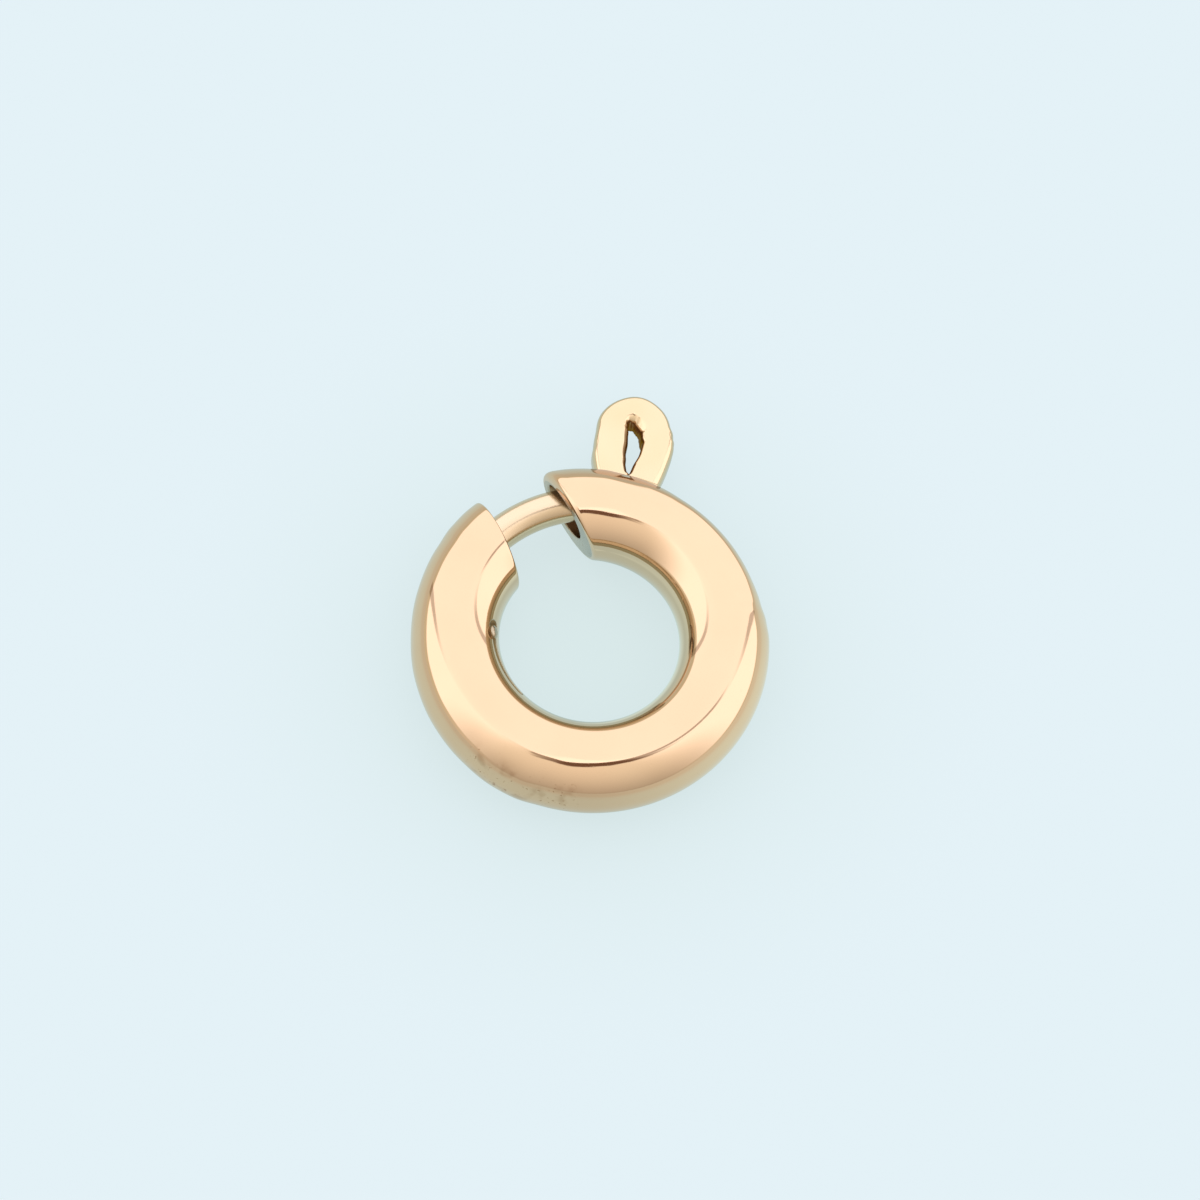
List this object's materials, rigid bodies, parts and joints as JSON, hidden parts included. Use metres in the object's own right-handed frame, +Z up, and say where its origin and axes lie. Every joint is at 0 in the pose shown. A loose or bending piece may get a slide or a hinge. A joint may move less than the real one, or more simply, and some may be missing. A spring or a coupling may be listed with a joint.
{
  "type": "round carabiner clasp",
  "caption": "Round gold clasp for a chain: a hollow ring with a gap, closed by a sprung bolt that slides inside the tube, and a wire loop soldered to its rim.",
  "frame": {"origin": "on the ring's axis, at the level of the surface that the ring lies on", "axes": "+Z up along the ring's axis, +Y from the ring's centre through the wire loop, +X to the right with the gap at the upper left"},
  "size_m": [0.012, 0.015, 0.003],
  "materials": {
    "ring_gold": "polished rose gold",
    "bolt_gold": "polished rose gold wire"
  },
  "bodies": {
    "ring": {"ring_body": "ring_gold"},
    "bolt": {"latch_bolt": "bolt_gold"}
  },
  "joints": [
    {"name": "bolt_slide", "type": "hinge", "parent": "ring", "child": "bolt", "pos_m": [0, 0, 0.0015], "axis": [0, 0, 1], "range_deg": [0, 40], "stiffness_Nm_per_rad": 0.003, "springref_deg": -20.05}
  ]
}
